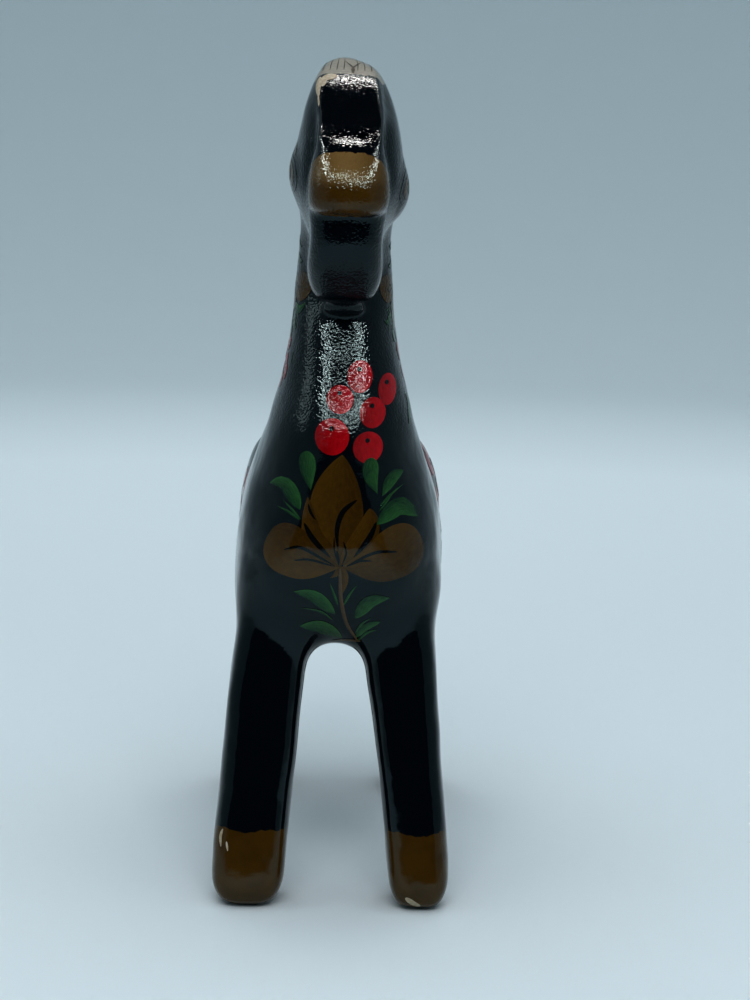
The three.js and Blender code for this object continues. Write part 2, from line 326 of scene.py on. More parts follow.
def carve_head():
    crown = plane(BROW, CROWN_FACE)
    forehead = plane(BROW, FOREHEAD_FACE)
    skull = cut(cut(swept("z", SKULL, 3.0), crown, 1.0), forehead, 1.0)
    for side in SIDES:
        spot = (side * TEMPLE_REACH[side], TEMPLE_Y, TEMPLE_Z)
        skull = cut(skull, plane(spot, mirrored(TEMPLE_FACE, side)), 0.8)
    jaw = swept("z", JAW, 5.0)
    for side in SIDES:
        jaw = cut(jaw, plane(mirrored(CHIN_SPOT, side), mirrored(CHIN_FACE, side)), 1.0)
    bridge = cut(cut(swept("z", BRIDGE, 5.0), forehead, 0.5), crown, 1.0)
    head = join(join(skull, bridge, 1.0), jaw, 2.0)
    head = join(head, swept("z", MUZZLE, 2.9), 0.6)
    head = join(head, ball(*THROAT_RIDGE), 1.0)
    for side in SIDES:
        head = join(head, ball((side * EYE_ACROSS, EYE_Y, EYE_HEIGHT[side]), EYE_RADII), 3.0)
    return head


def carve_figure():
    torso = swept("y", TORSO, 2.2, belt=0.32)
    figure = join(torso, swept("z", NECK, 2.2), 5.0)
    for side in SIDES:
        haunch = ball((side * HAUNCH_ACROSS, HAUNCH_Y, HAUNCH_Z), HAUNCH_RADII, 2.2)
        figure = join(figure, haunch, 6.0)
        figure = join(figure, swept("z", HIND_LEG, 3.2, offset_sign=side), 9.0)
    figure = join(figure, swept("z", FRONT_LEG_RIGHT, 3.6, offset_sign=-1), 8.0)
    figure = join(figure, swept("z", FRONT_LEG_LEFT, 3.6, offset_sign=1), 8.0)
    figure = join(figure, carve_head(), 3.0)
    figure = join(figure, swept("z", TAIL, 2.2), 3.0)
    return figure


# Long shallow waves left by the knife and the sandpaper: wavelength, height, direction, phase.
TOOL_WAVES = [
    (23.0, 0.10, (0.3, 0.8, 0.5), 0.4),
    (17.0, 0.08, (0.9, -0.2, 0.4), 1.9),
    (13.0, 0.05, (0.1, 0.5, -0.9), 3.1),
    (9.0, 0.02, (-0.6, 0.6, 0.5), 4.4),
    (7.0, 0.012, (0.5, 0.1, 0.85), 5.2),
]


def add_tool_waves(field):
    for wavelength, height, direction, phase in TOOL_WAVES:
        k = 2 * math.pi / wavelength / math.sqrt(sum(d * d for d in direction))
        angle = sum(k * d * g for d, g in zip(direction, (GRID_X, GRID_Y, GRID_Z)))
        field = field + height * np.sin(angle + phase)
    return field


def sanded(field, passes):
    """Blurs the field, which rounds every edge a little."""
    for _ in range(passes):
        for axis in range(3):
            field = (np.roll(field, 1, axis) + 2 * field + np.roll(field, -1, axis)) / 4
    return field


# ------------------------------------------------------------------ from the grid to a skin

CORNERS = [(i, j, k) for i in (0, 1) for j in (0, 1) for k in (0, 1)]


def skin(field):
    """Vertices and four-sided faces of the surface where the field is nought."""
    inside = field < 0
    nx, ny, nz = (n - 1 for n in field.shape)
    count = sum(inside[i:nx + i, j:ny + j, k:nz + k].astype(np.int8) for i, j, k in CORNERS)
    cells = np.argwhere((count > 0) & (count < 8))
    number = np.full((nx, ny, nz), -1, np.int32)
    number[tuple(cells.T)] = np.arange(len(cells))
    total = np.zeros((len(cells), 3))
    crossings = np.zeros(len(cells))
    for start in CORNERS:
        for axis in range(3):
            if start[axis]:
                continue
            end = tuple(1 if k == axis else start[k] for k in range(3))
            a = field[tuple((cells + start).T)]
            b = field[tuple((cells + end).T)]
            hit = (a < 0) != (b < 0)
            share = np.where(hit, a / np.where(hit, a - b, 1), 0)
            place = np.array(start) + share[:, None] * np.eye(3)[axis]
            total += place * hit[:, None]
            crossings += hit
    spots = cells + total / crossings[:, None]
    origin = np.array([line_x[0], line_y[0], line_z[0]])
    vertices = origin + spots * GRID_STEP
    faces = []
    for axis in range(3):
        u, v = (axis + 1) % 3, (axis + 2) % 3
        step = np.eye(3, dtype=int)
        first = [slice(1, n) for n in (nx, ny, nz)]
        here = inside[tuple(first)]
        beyond = [slice(1, n) for n in (nx, ny, nz)]
        beyond[axis] = slice(2, (nx, ny, nz)[axis] + 1)
        there = inside[tuple(beyond)]
        for solid_first in (True, False):
            spots_at = np.argwhere((here == solid_first) & (there != solid_first)) + 1
            ring = [spots_at, spots_at - step[u], spots_at - step[u] - step[v], spots_at - step[v]]
            quad = np.stack([number[tuple(r.T)] for r in ring], axis=1)
            faces.append(quad if solid_first else quad[:, ::-1])
    return vertices, np.vstack(faces)


SHRINK, SWELL = 0.5, -0.52  # each round pulls the vertices in and then lets them out again


def smoothed(vertices, faces, rounds):
    """Evens out the grid's steps, keeping the volume."""
    edges = np.vstack([faces[:, [0, 1]], faces[:, [1, 2]], faces[:, [2, 3]], faces[:, [3, 0]]])
    degree = np.bincount(edges.ravel(), minlength=len(vertices))[:, None]
    for _ in range(rounds):
        for weight in (SHRINK, SWELL):
            near = np.zeros_like(vertices)
            for k in range(3):
                near[:, k] = np.bincount(edges[:, 0], vertices[edges[:, 1], k], len(vertices))
                near[:, k] += np.bincount(edges[:, 1], vertices[edges[:, 0], k], len(vertices))
            vertices = vertices + weight * (near / degree - vertices)
    return vertices


def sampled(grids, points):
    """Values of gridded fields at points given in millimetres, blended between the grid's nodes."""
    place = (points - [line_x[0], line_y[0], line_z[0]]) / GRID_STEP
    limit = np.array(grids[0].shape) - 2
    cell = np.clip(np.floor(place).astype(int), 0, limit)
    share = np.clip(place - cell, 0, 1)
    values = np.zeros((len(grids), len(points)))
    for corner in CORNERS:
        weight = np.prod(np.where(corner, share, 1 - share), axis=1)
        spot = tuple((cell + corner).T)
        for k, grid in enumerate(grids):
            values[k] += weight * grid[spot]
    return values


def slope_at(points):
    return sampled(field_slopes, points).T


def settled(points, rounds=2):
    """Moves points that are close to the surface exactly onto it."""
    for _ in range(rounds):
        slope = slope_at(points)
        depth = sampled([figure_field], points)[0]
        points = points - slope * (depth / np.maximum((slope * slope).sum(1), 1e-3))[:, None]
    return points


def outward(points):
    slope = slope_at(points)
    return slope / np.linalg.norm(slope, axis=1)[:, None]


figure_field = sanded(add_tool_waves(carve_figure()), 2)
field_slopes = np.gradient(figure_field, GRID_STEP)
skin_vertices, skin_faces = skin(figure_field)
skin_vertices = settled(smoothed(skin_vertices, skin_faces, 3))

# ------------------------------------------------------------------ sawing it into its pieces

# The glued joints: heights or places of the level and upright ones, point and direction of the others.
LEG_CUT = 62
TAIL_CUT = 68.4
NECK_CUT = ((0, -20, 124), (0, -0.2, 1))
HEAD_CUT = ((0, -27, 166), (0, -0.66, 0.75))
LEG_INNER = 8  # every leg is further out than this, and the tail nearer than TAIL_REACH
TAIL_REACH = 5


def build_whole_figure():
    solid = bmesh.new()
    points = [solid.verts.new(v) for v in skin_vertices.tolist()]
    for face in skin_faces.tolist():
        solid.faces.new([points[k] for k in face])
    return solid


def saw(solid, point, outwards):
    """Cuts away what lies beyond the plane and closes the cut."""
    everything = solid.verts[:] + solid.edges[:] + solid.faces[:]
    done = bmesh.ops.bisect_plane(
        solid, geom=everything, plane_co=point, plane_no=outwards, clear_outer=True, dist=1e-5
    )
    edges = [e for e in done["geom_cut"] if isinstance(e, bmesh.types.BMEdge) and e.is_boundary]
    bmesh.ops.holes_fill(solid, edges=edges, sides=0)


def keep_island(solid, wanted):
    """Keeps the separate bodies whose middle passes the test."""
    left = set(solid.verts)
    while left:
        island, front = set(), [left.pop()]
        while front:
            vertex = front.pop()
            island.add(vertex)
            for edge in vertex.link_edges:
                other = edge.other_vert(vertex)
                if other in left:
                    left.remove(other)
                    front.append(other)
        middle = sum((v.co for v in island), Vector()) / len(island)
        if not wanted(middle):
            bmesh.ops.delete(solid, geom=list(island), context="VERTS")


def back(cut_plane):
    """The same cut, keeping the other side."""
    point, outwards = cut_plane
    return point, tuple(-c for c in outwards)


# Each piece's cuts, and which of the bodies that are left belong to it.
PIECES = {
    "head": ([back(HEAD_CUT)], None),
    "neck": ([HEAD_CUT, back(NECK_CUT)], None),
    "torso": ([NECK_CUT, ((0, 0, LEG_CUT), (0, 0, -1)), ((0, TAIL_CUT, 0), (0, 1, 0))], None),
    "tail": ([((0, TAIL_CUT, 0), (0, -1, 0))], lambda m: abs(m.x) < TAIL_REACH),
}
for side_name, side in (("right", -1), ("left", 1)):
    below = ((0, 0, LEG_CUT), (0, 0, 1))
    PIECES["front_leg_" + side_name] = ([below], lambda m, s=side: m.y < 0 and m.x * s > LEG_INNER)
    PIECES["hind_leg_" + side_name] = ([below], lambda m, s=side: m.y > 0 and m.x * s > LEG_INNER)


SKIN_FACE_CORNERS = 5  # the most that a face of the skin has; a sawn face has more


def wooden_piece(node, cuts, wanted):
    """The part of the figure left by the cuts, smooth outside and flat where it is sawn."""
    solid = whole_figure.copy()
    for point, outwards in cuts:
        saw(solid, point, outwards)
    if wanted:
        keep_island(solid, wanted)
    bmesh.ops.recalc_face_normals(solid, faces=solid.faces)
    mesh = bpy.data.meshes.new(node + "_carved")
    solid.to_mesh(mesh)
    solid.free()
    points = np.zeros(len(mesh.vertices) * 3)
    mesh.vertices.foreach_get("co", points)
    points = points.reshape(-1, 3)
    normals = outward(points)
    corners = np.zeros(len(mesh.loops), int)
    mesh.loops.foreach_get("vertex_index", corners)
    corner_normals = normals[corners]
    for face in mesh.polygons:
        if len(face.vertices) > SKIN_FACE_CORNERS:
            corner_normals[face.loop_indices] = face.normal
    add_paint_zones(mesh, points)
    mesh.vertices.foreach_set("co", (points * MM).ravel())
    mesh.shade_smooth()
    mesh.normals_split_custom_set(corner_normals.tolist())
    return mesh


# ------------------------------------------------------------------ where the plain colours go

HOOF_TOP = 20.6
TAIL_TIP_TOP = 63
MUZZLE_MIDDLE, MUZZLE_RADII = (0, -74, 188.4), (13.0, 9.5, 8.4)
MUZZLE_ROUGH_RADIUS = 8  # turns the share of those radii into millimetres
CROWN_BOTTOM, CROWN_FRONT = 213.6, -47.6  # the painted crown is above and behind these
SHEEN_BOTTOM, SHEEN_FADE, SHEEN_HALF, SHEEN_SHARE = 188.0, 2.4, 7.5, 0.6  # painted highlight: the lightened top of the muzzle
CROWN_SHEEN_ABOVE = 205  # painted reflection: from here up all the ochre is lightened


def add_paint_zones(mesh, points):
    """Two values at each vertex. ochre_edge is the distance in millimetres to the edge of the ochre
    paint, negative where there is paint, and painted_sheen says how far the ochre is lightened
    as painted sheen: a painted highlight on the muzzle's top, a painted reflection on the crown."""
    x, y, z = points.T
    waver = 0.35 * np.sin(x * 0.55 + 1.1) + 0.25 * np.sin(y * 0.7 + z * 0.5) + 0.12 * np.sin(x * 2.1 + y)
    hoof = z - HOOF_TOP + waver
    muzzle = np.linalg.norm((points - MUZZLE_MIDDLE) / MUZZLE_RADII, axis=1)
    muzzle = (muzzle - 1) * MUZZLE_ROUGH_RADIUS + 0.5 * waver
    crown = np.maximum(CROWN_BOTTOM - z, CROWN_FRONT - y) + 0.6 * waver
    tail_tip = np.maximum(z - TAIL_TIP_TOP, TAIL_CUT + 0.4 - y) + waver
    ochre = np.minimum.reduce([hoof, muzzle, crown, tail_tip])
    # Painted sheen: the muzzle's top is lightened toward its middle, and the whole crown is lightened.
    muzzle_sheen = np.clip((z - SHEEN_BOTTOM + 0.5 * waver) / SHEEN_FADE, 0, 1) * np.exp(-(x / SHEEN_HALF) ** 2)
    sheen_share = np.where(z > CROWN_SHEEN_ABOVE, 1, SHEEN_SHARE * muzzle_sheen)
    for name, values in (("ochre_edge", ochre), ("painted_sheen", sheen_share)):
        layer = mesh.attributes.new(name, "FLOAT", "POINT")
        layer.data.foreach_set("value", values.astype(np.float32))


# ------------------------------------------------------------------ colours and finishes


class Finish:
    """A material under construction."""

    def __init__(self, name):
        self.material = bpy.data.materials.new(name)
        self.material.use_nodes = True
        self.tree = self.material.node_tree
        self.surface = self.tree.nodes["Principled BSDF"]

    def feed(self, socket, value):
        if isinstance(value, bpy.types.NodeSocket):
            self.tree.links.new(value, socket)
        else:
            socket.default_value = value

    def add(self, kind, inputs, output=0, **settings):
        node = self.tree.nodes.new("ShaderNode" + kind)
        for key, value in settings.items():
            setattr(node, key, value)
        for key, value in inputs.items():
            self.feed(node.inputs[key], value)
        return node.outputs[output]

    def math(self, operation, a, b=0.0):
        return self.add("Math", {0: a, 1: b}, operation=operation)

    def where(self):
        return self.add("TexCoord", {}, "Object")

    def noise(self, size, detail=2.0, place=None):
        """Noise with blotches about size metres wide."""
        return self.add("TexNoise", {"Vector": place or self.where(), "Scale": 1 / size, "Detail": detail})

    def spread(self, value, low, high, to_low=0.0, to_high=1.0):
        inputs = {"Value": value, "From Min": low, "From Max": high, "To Min": to_low, "To Max": to_high}
        return self.add("MapRange", inputs)

    def mix(self, share, a, b):
        node = self.tree.nodes.new("ShaderNodeMix")
        node.data_type = "RGBA"
        self.feed(node.inputs[0], share)
        for socket, value in ((node.inputs[6], a), (node.inputs[7], b)):
            self.feed(socket, value if isinstance(value, bpy.types.NodeSocket) else (*value, 1))
        return node.outputs[2]

    def set(self, **inputs):
        for key, value in inputs.items():
            self.feed(self.surface.inputs[key.replace("_", " ")], value)


BLACK = (0.0017, 0.0032, 0.0054)
OCHRE = (0.076, 0.037, 0.004)
OCHRE_DARK = (0.042, 0.019, 0.002)
# Painted sheen colours: a painted highlight on the muzzle's top and a painted reflection on the crown.
OCHRE_SHEEN = (0.30, 0.19, 0.075)
CROWN_SHEEN = (0.29, 0.26, 0.21)
RED = (0.400, 0.003, 0.009)
RED_DARK = (0.220, 0.001, 0.003)
GREEN = (0.026, 0.095, 0.022)
GREEN_DARK = (0.004, 0.024, 0.008)
CREAM = (0.46, 0.42, 0.33)
WOOD = (0.42, 0.27, 0.14)
WOOD_DARK = (0.26, 0.15, 0.07)
GROUND_DARK = (0.33, 0.26, 0.17)

GLOSS = 0.39  # the lacquer's specular level
GLOSS_TINT = (0.64, 0.94, 1.0, 1)  # gives what the black reflects a cool cast
GRAIN_SIZE, RUNS_SIZE, DULL_SIZE = 0.0007, 0.006, 0.011  # metres
GRAIN_SHARE = 0.65  # the grain's height beside that of the runs
RUNS_HEIGHT = 0.00022
GRAIN_STARTS, GRAIN_FULL = 0.120, 0.128  # heights between which the lacquer turns from smooth to grainy
FOREHEAD_HEIGHT = 0.2065  # the grain is shallower near this height
FOREHEAD_HALF, FOREHEAD_EDGE = 0.003, 0.006  # how far from it that starts and stops fading out
MUZZLE_SHEEN_TOP, CROWN_SHEEN_BOTTOM = 0.203, 0.209  # the two painted sheen colours change over between these


def varnish(finish):
    """Thick brushed lacquer: an orange-peel grain, soft runs and a few duller spots."""
    grain = finish.noise(GRAIN_SIZE, 1.0)
    runs = finish.noise(RUNS_SIZE, 1.0)
    level_up = finish.add("SeparateXYZ", {"Vector": finish.where()}, "Z")
    rising = finish.spread(level_up, GRAIN_STARTS, GRAIN_FULL, 0.1 * GRAIN_SHARE, GRAIN_SHARE)
    off_forehead = finish.math("ABSOLUTE", finish.math("SUBTRACT", level_up, FOREHEAD_HEIGHT))
    share = finish.spread(off_forehead, FOREHEAD_HALF, FOREHEAD_EDGE, 0.35, 1.0)
    coarse = finish.math("MULTIPLY", rising, share)
    height = finish.math("ADD", finish.math("MULTIPLY", grain, coarse), runs)
    bump = finish.add("Bump", {"Height": height, "Distance": RUNS_HEIGHT, "Strength": 1.0})
    dull = finish.noise(DULL_SIZE, 3.0)
    finish.set(Roughness=finish.spread(dull, 0.35, 0.75, 0.06, 0.13), Normal=bump)
    finish.set(Specular_IOR_Level=GLOSS, Specular_Tint=GLOSS_TINT)


def black_lacquer():
    finish = Finish("black_lacquer")
    edge = finish.add("Attribute", {}, "Fac", attribute_name="ochre_edge")
    ragged = finish.math("MULTIPLY", finish.math("SUBTRACT", finish.noise(0.0016, 3.0), 0.5), 0.9)
    painted = finish.spread(finish.math("ADD", edge, ragged), 0.08, -0.08)
    streaks = finish.noise(0.006, 3.0)
    ochre = finish.mix(finish.spread(streaks, 0.1, 0.75), OCHRE_DARK, OCHRE)
    # Painted sheen: the ochre is mixed toward the pale sheen colours as far as the vertex attribute says.
    sheen_share = finish.add("Attribute", {}, "Fac", attribute_name="painted_sheen")
    height = finish.add("SeparateXYZ", {"Vector": finish.where()}, "Z")
    share = finish.spread(height, MUZZLE_SHEEN_TOP, CROWN_SHEEN_BOTTOM)
    pale = finish.mix(share, OCHRE_SHEEN, CROWN_SHEEN)
    ochre = finish.mix(sheen_share, ochre, pale)
    finish.set(Base_Color=finish.mix(painted, BLACK, ochre))
    varnish(finish)
    return finish.material


def brushed_paint(name, dark, light):
    """Paint in brush strokes: lighter toward one side of each stroke, streaked along it."""
    finish = Finish(name)
    across = finish.add("Attribute", {}, "Fac", attribute_name="across")
    along = finish.add("Attribute", {}, "Fac", attribute_name="along")
    place = finish.add("CombineXYZ", {"X": finish.math("MULTIPLY", across, 3.0), "Y": along, "Z": 0.0})
    bristles = finish.add("TexNoise", {"Vector": place, "Scale": 2.2, "Detail": 3.0})
    blotches = finish.noise(0.002, 3.0)
    tone = finish.math("ADD", finish.math("MULTIPLY", across, 0.22), finish.math("MULTIPLY", bristles, 0.7))
    tone = finish.math("ADD", tone, finish.math("MULTIPLY", blotches, 0.3))
    finish.set(Base_Color=finish.mix(finish.spread(tone, 0.25, 0.75), dark, light))
    varnish(finish)
    return finish.material


def bare_ground():
    finish = Finish("chipped_ground")
    grain = finish.noise(0.0009, 4.0)
    finish.set(Base_Color=finish.mix(finish.spread(grain, 0.35, 0.7), GROUND_DARK, CREAM), Roughness=0.8)
    finish.set(Normal=finish.add("Bump", {"Height": grain, "Distance": 0.0002, "Strength": 0.8}))
    return finish.material


def dowel_wood():
    finish = Finish("dowel_wood")
    stretched = finish.add("Mapping", {"Vector": finish.where(), "Scale": (1.0, 1.0, 0.12)})
    fibres = finish.noise(0.0012, 5.0, place=stretched)
    rings = finish.add("TexWave", {"Vector": stretched, "Scale": 180.0, "Distortion": 2.0})
    tone = finish.math("ADD", finish.math("MULTIPLY", fibres, 0.7), finish.math("MULTIPLY", rings, 0.3))
    finish.set(Base_Color=finish.mix(tone, WOOD_DARK, WOOD), Roughness=0.62)
    finish.set(Normal=finish.add("Bump", {"Height": fibres, "Distance": 0.0001, "Strength": 0.5}))
    return finish.material


# ------------------------------------------------------------------ the pieces of wood


def show(name, mesh, material, node=None):
    piece = bpy.data.objects.new(name, mesh)
    bpy.context.scene.collection.objects.link(piece)
    mesh.materials.append(material)
    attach(piece, "root")
    if node:
        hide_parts(node)
    return piece


whole_figure = build_whole_figure()
lacquer = black_lacquer()
for node, (cuts, wanted) in PIECES.items():
    show("carved_" + node, wooden_piece(node, cuts, wanted), lacquer, node)
whole_figure.free()

wood = dowel_wood()
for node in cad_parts:
    if "dowel" in node:
        coats = bpy.data.objects[node].data.materials
        coats.clear()
        coats.append(wood)

# ------------------------------------------------------------------ the painted decoration

tree = BVHTree.FromPolygons(skin_vertices.tolist(), skin_faces.tolist())
FRONT, TOP, RIGHT, LEFT = "front", "top", "right", "left"
# Where a brush starts from for a place drawn on that side, and which way it goes.
VIEWS = {
    FRONT: (lambda u, v: (u, -100, v), (0, 1, 0)),
    TOP: (lambda u, v: (u, v, 240), (0, 0, -1)),
    RIGHT: (lambda u, v: (-60, u, v), (1, 0, 0)),
    LEFT: (lambda u, v: (60, u, v), (-1, 0, 0)),
}


def landed(points, view):
    """The spots on the skin that a brush reaches when it comes straight from that side."""
    origin, direction = VIEWS[view]
    spots, found = [], None
    for u, v in points:
        hit = tree.ray_cast(Vector(origin(u, v)), Vector(direction))[0]
        found = hit or found
        spots.append(found)
    first = next(s for s in spots if s)
    return settled(np.array([s or first for s in spots]))


def curve_through(points, count):
    """Evenly spaced places on the smooth curve through the points."""
    fine = refined(points, 16)
    run = np.r_[0, np.cumsum(np.linalg.norm(np.diff(fine, axis=0), axis=1))]
    even_run = np.linspace(0, run[-1], count)
    return np.stack([np.interp(even_run, run, fine[:, k]) for k in (0, 1)], axis=1), run[-1]


class Paint:
    """Strokes of one colour, gathered into one thin film."""

    def __init__(self):
        self.points, self.faces, self.along, self.across = [], [], [], []

    def stroke(self, view, spine, width, start=0.5, end=1.2, lift=0.06, step=0.8):
        """A stroke along the spine; start and end say how sharply each end comes to a point."""
        length = curve_through(spine, 3)[1]
        rows = max(5, int(length / step) + 1)
        columns = max(3, int(width / step) + 1) | 1
        t = (1 - np.cos(np.linspace(0, math.pi, rows))) / 2
        middle, _ = curve_through(spine, rows * 8)
        middle = np.stack([np.interp(t, np.linspace(0, 1, rows * 8), middle[:, k]) for k in (0, 1)], 1)
        slope = np.gradient(middle, axis=0)
        slope /= np.maximum(np.linalg.norm(slope, axis=1), 1e-6)[:, None]
        sideways = np.stack([-slope[:, 1], slope[:, 0]], 1)
        peak = start / (start + end)
        profile = (t / peak) ** start * ((1 - t) / (1 - peak)) ** end
        half = np.maximum(profile * width / 2, 0.04)
        s = np.linspace(-1, 1, columns)
        flat = middle[:, None] + sideways[:, None] * (half[:, None] * s)[:, :, None]
        spots = landed(flat.reshape(-1, 2), view)
        base = sum(len(p) for p in self.points)
        self.points.append(spots + outward(spots) * lift)
        self.along.append(np.repeat(t * length / 4 + base * 0.37, columns))
        self.across.append(np.tile(s, rows))
        for i in range(rows - 1):
            for j in range(columns - 1):
                a = base + i * columns + j
                self.faces.append((a, a + 1, a + columns + 1, a + columns))
        return self

    def mesh(self, name):
        points = np.vstack(self.points)
        normals = outward(points)
        faces = np.array(self.faces)
        a, b, c = (points[faces[:, k]] for k in (0, 1, 2))
        wrong = (np.cross(b - a, c - a) * normals[faces[:, 0]]).sum(1) < 0
        faces[wrong] = faces[wrong][:, ::-1]
        mesh = bpy.data.meshes.new(name)
        mesh.from_pydata((points * MM).tolist(), [], faces.tolist())
        mesh.shade_smooth()
        mesh.normals_split_custom_set_from_vertices(normals.tolist())
        for label, values in (("along", self.along), ("across", self.across)):
            layer = mesh.attributes.new(label, "FLOAT", "POINT")
            layer.data.foreach_set("value", np.concatenate(values).astype(np.float32))
        return mesh


# The bouquet, drawn in millimetres across and up, with the heart of its flower at the origin.
# A stroke: its spine, its width, and how sharply it starts and ends.
PETALS = [
    ([(0, -0.5), (-1, 8), (-1.2, 17), (0, 28)], 14.0, 0.75, 0.85),
    ([(0, 0), (-6.5, 6), (-8, 11), (-8.6, 17)], 5.4, 0.6, 0.9),
    ([(0.4, 0), (5.6, 6), (7.4, 10.5), (7.4, 14.5)], 6.6, 0.7, 0.7),
    ([(0.2, -0.8), (-8, 0.6), (-13.5, 3.2), (-19, 5.6)], 13.4, 1.05, 0.42),
    ([(0.4, -0.8), (9, 0.4), (14.5, 3.0), (21, 6.0)], 13.8, 1.05, 0.42),
    ([(0.4, -0.5), (-1.2, -3), (-2.4, -3.6)], 1.5, 0.5, 1.0),
    ([(0.2, -0.6), (1.2, -4.5), (0.3, -9)], 2.6, 0.5, 1.2),
]
LEAVES = [
    ([(-9.2, 28.4), (-8.8, 24), (-7.9, 18.6)], 4.4, 0.5, 1.1),
    ([(-18.8, 18.8), (-14.4, 19.4), (-10.5, 13.6)], 4.0, 1.0, 0.8),
    ([(7.4, 27.2), (7.4, 22.6), (9.2, 18)], 4.2, 0.5, 1.1),
    ([(15.8, 23.2), (13, 21.8), (10.4, 17.4)], 3.2, 0.7, 1.0),
    ([(20, 11.4), (15, 14.6), (9.2, 10.4)], 4.6, 1.0, 0.9),
    ([(-11.8, -7.8), (-6.2, -9), (-0.9, -13.8)], 3.6, 1.0, 0.8),
    ([(-10, -17.8), (-4.2, -18), (1.2, -21.4)], 3.9, 0.9, 0.8),
    ([(13.4, -9), (8, -10.2), (4.4, -15)], 3.7, 1.1, 0.8),
    ([(11, -16), (7.3, -17.5), (4.5, -21)], 2.0, 0.8, 0.8),
]
FEATHERS = [
    [(-16.8, 13.8), (-13.6, 12.8), (-10.6, 11)],
    [(-15, 15.4), (-12.6, 13.4), (-10.4, 11.2)],
    [(-9.6, -12.4), (-4.8, -13.2), (-1.4, -15.6)],
    [(-2.4, -5), (-1.3, -8), (-0.2, -11.2)],
    [(4.6, -5.4), (2.9, -7.8), (1.1, -11.4)],
    [(14, 19.2), (12, 16.6), (9.8, 13.8)],
    [(16.2, 20), (13, 18), (10, 15.2)],
    [(8.6, -14.8), (6.2, -16.6), (4.5, -19.6)],
    [(10.4, -18.2), (7.6, -19.2), (5.2, -21.8)],
    [(16, 42.4), (17.2, 39), (17.4, 34)],
]
BERRIES = [
    ((-2.8, 32.4), 8.9, 9.3),
    ((6.5, 29.8), 7.8, 8.0),
    ((7.5, 38.4), 6.8, 7.8),
    ((-1.0, 41.7), 7.0, 7.2),
    ((4.0, 47.4), 6.6, 8.2),
    ((11.2, 44.0), 4.8, 8.0),
]
VEINS = [
    ([(4, 16.7), (0.5, 13.6), (-0.9, 9), (-0.5, 3.6)], 1.3),
    ([(-9.4, 10.4), (-7, 6.4), (-2.4, 1.8)], 1.4),
    ([(9.1, 11), (7.4, 7), (3.6, 2)], 1.4),
    ([(-8.5, 15.2), (-7.7, 13), (-6.4, 11.3)], 0.7),
    ([(-14.4, 3.2), (-10.8, 4.2), (-7.2, 2.8), (-1.2, -0.4)], 0.8),
    ([(-11.8, 0.6), (-7.7, 1), (-1.2, -0.6)], 0.6),
    ([(14.7, 3.2), (9, 3.2), (1.7, -0.4)], 0.8),
    ([(8.3, 1), (5.2, 1), (1.7, -0.6)], 0.6),
    ([(-0.8, 3.6), (-0.2, -0.4)], 0.8),
    ([(0.8, 6), (1.6, 3), (0.6, 0)], 0.5),
    ([(-1.6, 7), (-1.4, 3.4), (-0.2, 0)], 0.4),
]
STEM = [(0.1, -1), (0.6, -9.5), (2.3, -16.8), (5.4, -22)]
TWIG = [(6, -21.8), (2.2, -22), (-1.6, -22.6)]

petals, leaves, berries, lines, stems = Paint(), Paint(), Paint(), Paint(), Paint()


def bouquet(view, heart, turn=0.0, scale=1.0, hand=1):
    """Paints the whole bouquet with its flower's heart at that place on one side of the figure."""
    c, s = math.cos(math.radians(turn)) * scale, math.sin(math.radians(turn)) * scale

    def put(points):
        return [(heart[0] + c * hand * u - s * v, heart[1] + s * hand * u + c * v) for u, v in points]

    for number, (spine, width, start, end) in enumerate(PETALS):
        petals.stroke(view, put(spine), width * scale, start, end, lift=0.05 + 0.012 * (number % 5))
    for spine, width, start, end in LEAVES:
        leaves.stroke(view, put(spine), width * scale, start, end, lift=0.11)
    for spine in FEATHERS:
        leaves.stroke(view, put(spine), 0.7 * scale, 1.1, 0.7, lift=0.1, step=0.5)
    for (u, v), width, height in BERRIES:
        spine = put([(u, v + height / 2), (u, v - height / 2)])
        berries.stroke(view, spine, width * scale, 0.5, 0.5, lift=0.08)
        dot = put([(u - 0.2, v + height * 0.29), (u - 0.2, v + height * 0.14)])
        lines.stroke(view, dot, 1.2 * scale, 0.5, 0.5, lift=0.13, step=0.3)
    for spine, width in VEINS:
        lines.stroke(view, put(spine), width * scale, 0.6, 0.8, lift=0.14, step=0.5)
    stems.stroke(view, put(STEM), 1.0 * scale, 0.3, 0.3, lift=0.12, step=0.5)
    stems.stroke(view, put(TWIG), 0.7 * scale, 0.3, 0.5, lift=0.12, step=0.5)


MANE_STROKES, MANE_TOP, MANE_PITCH = 17, 207, 5.4


def paint_mane():
    """Short strokes that sweep forward and down from the crest on both sides of the neck."""
    neck = np.array(NECK)
    for k in range(MANE_STROKES):
        z = MANE_TOP - MANE_PITCH * k
        crest = float(np.interp(z, neck[:, 0], neck[:, 2])) - 1.2
        for view in (RIGHT, LEFT):
            reach = 6.5 + 1.2 * (k % 2)
            spine = [(crest, z), (crest - reach * 0.45, z - 2.2), (crest - reach, z - 6)]
            petals.stroke(view, spine, 2.4, 0.6, 1.1, lift=0.08, step=0.6)


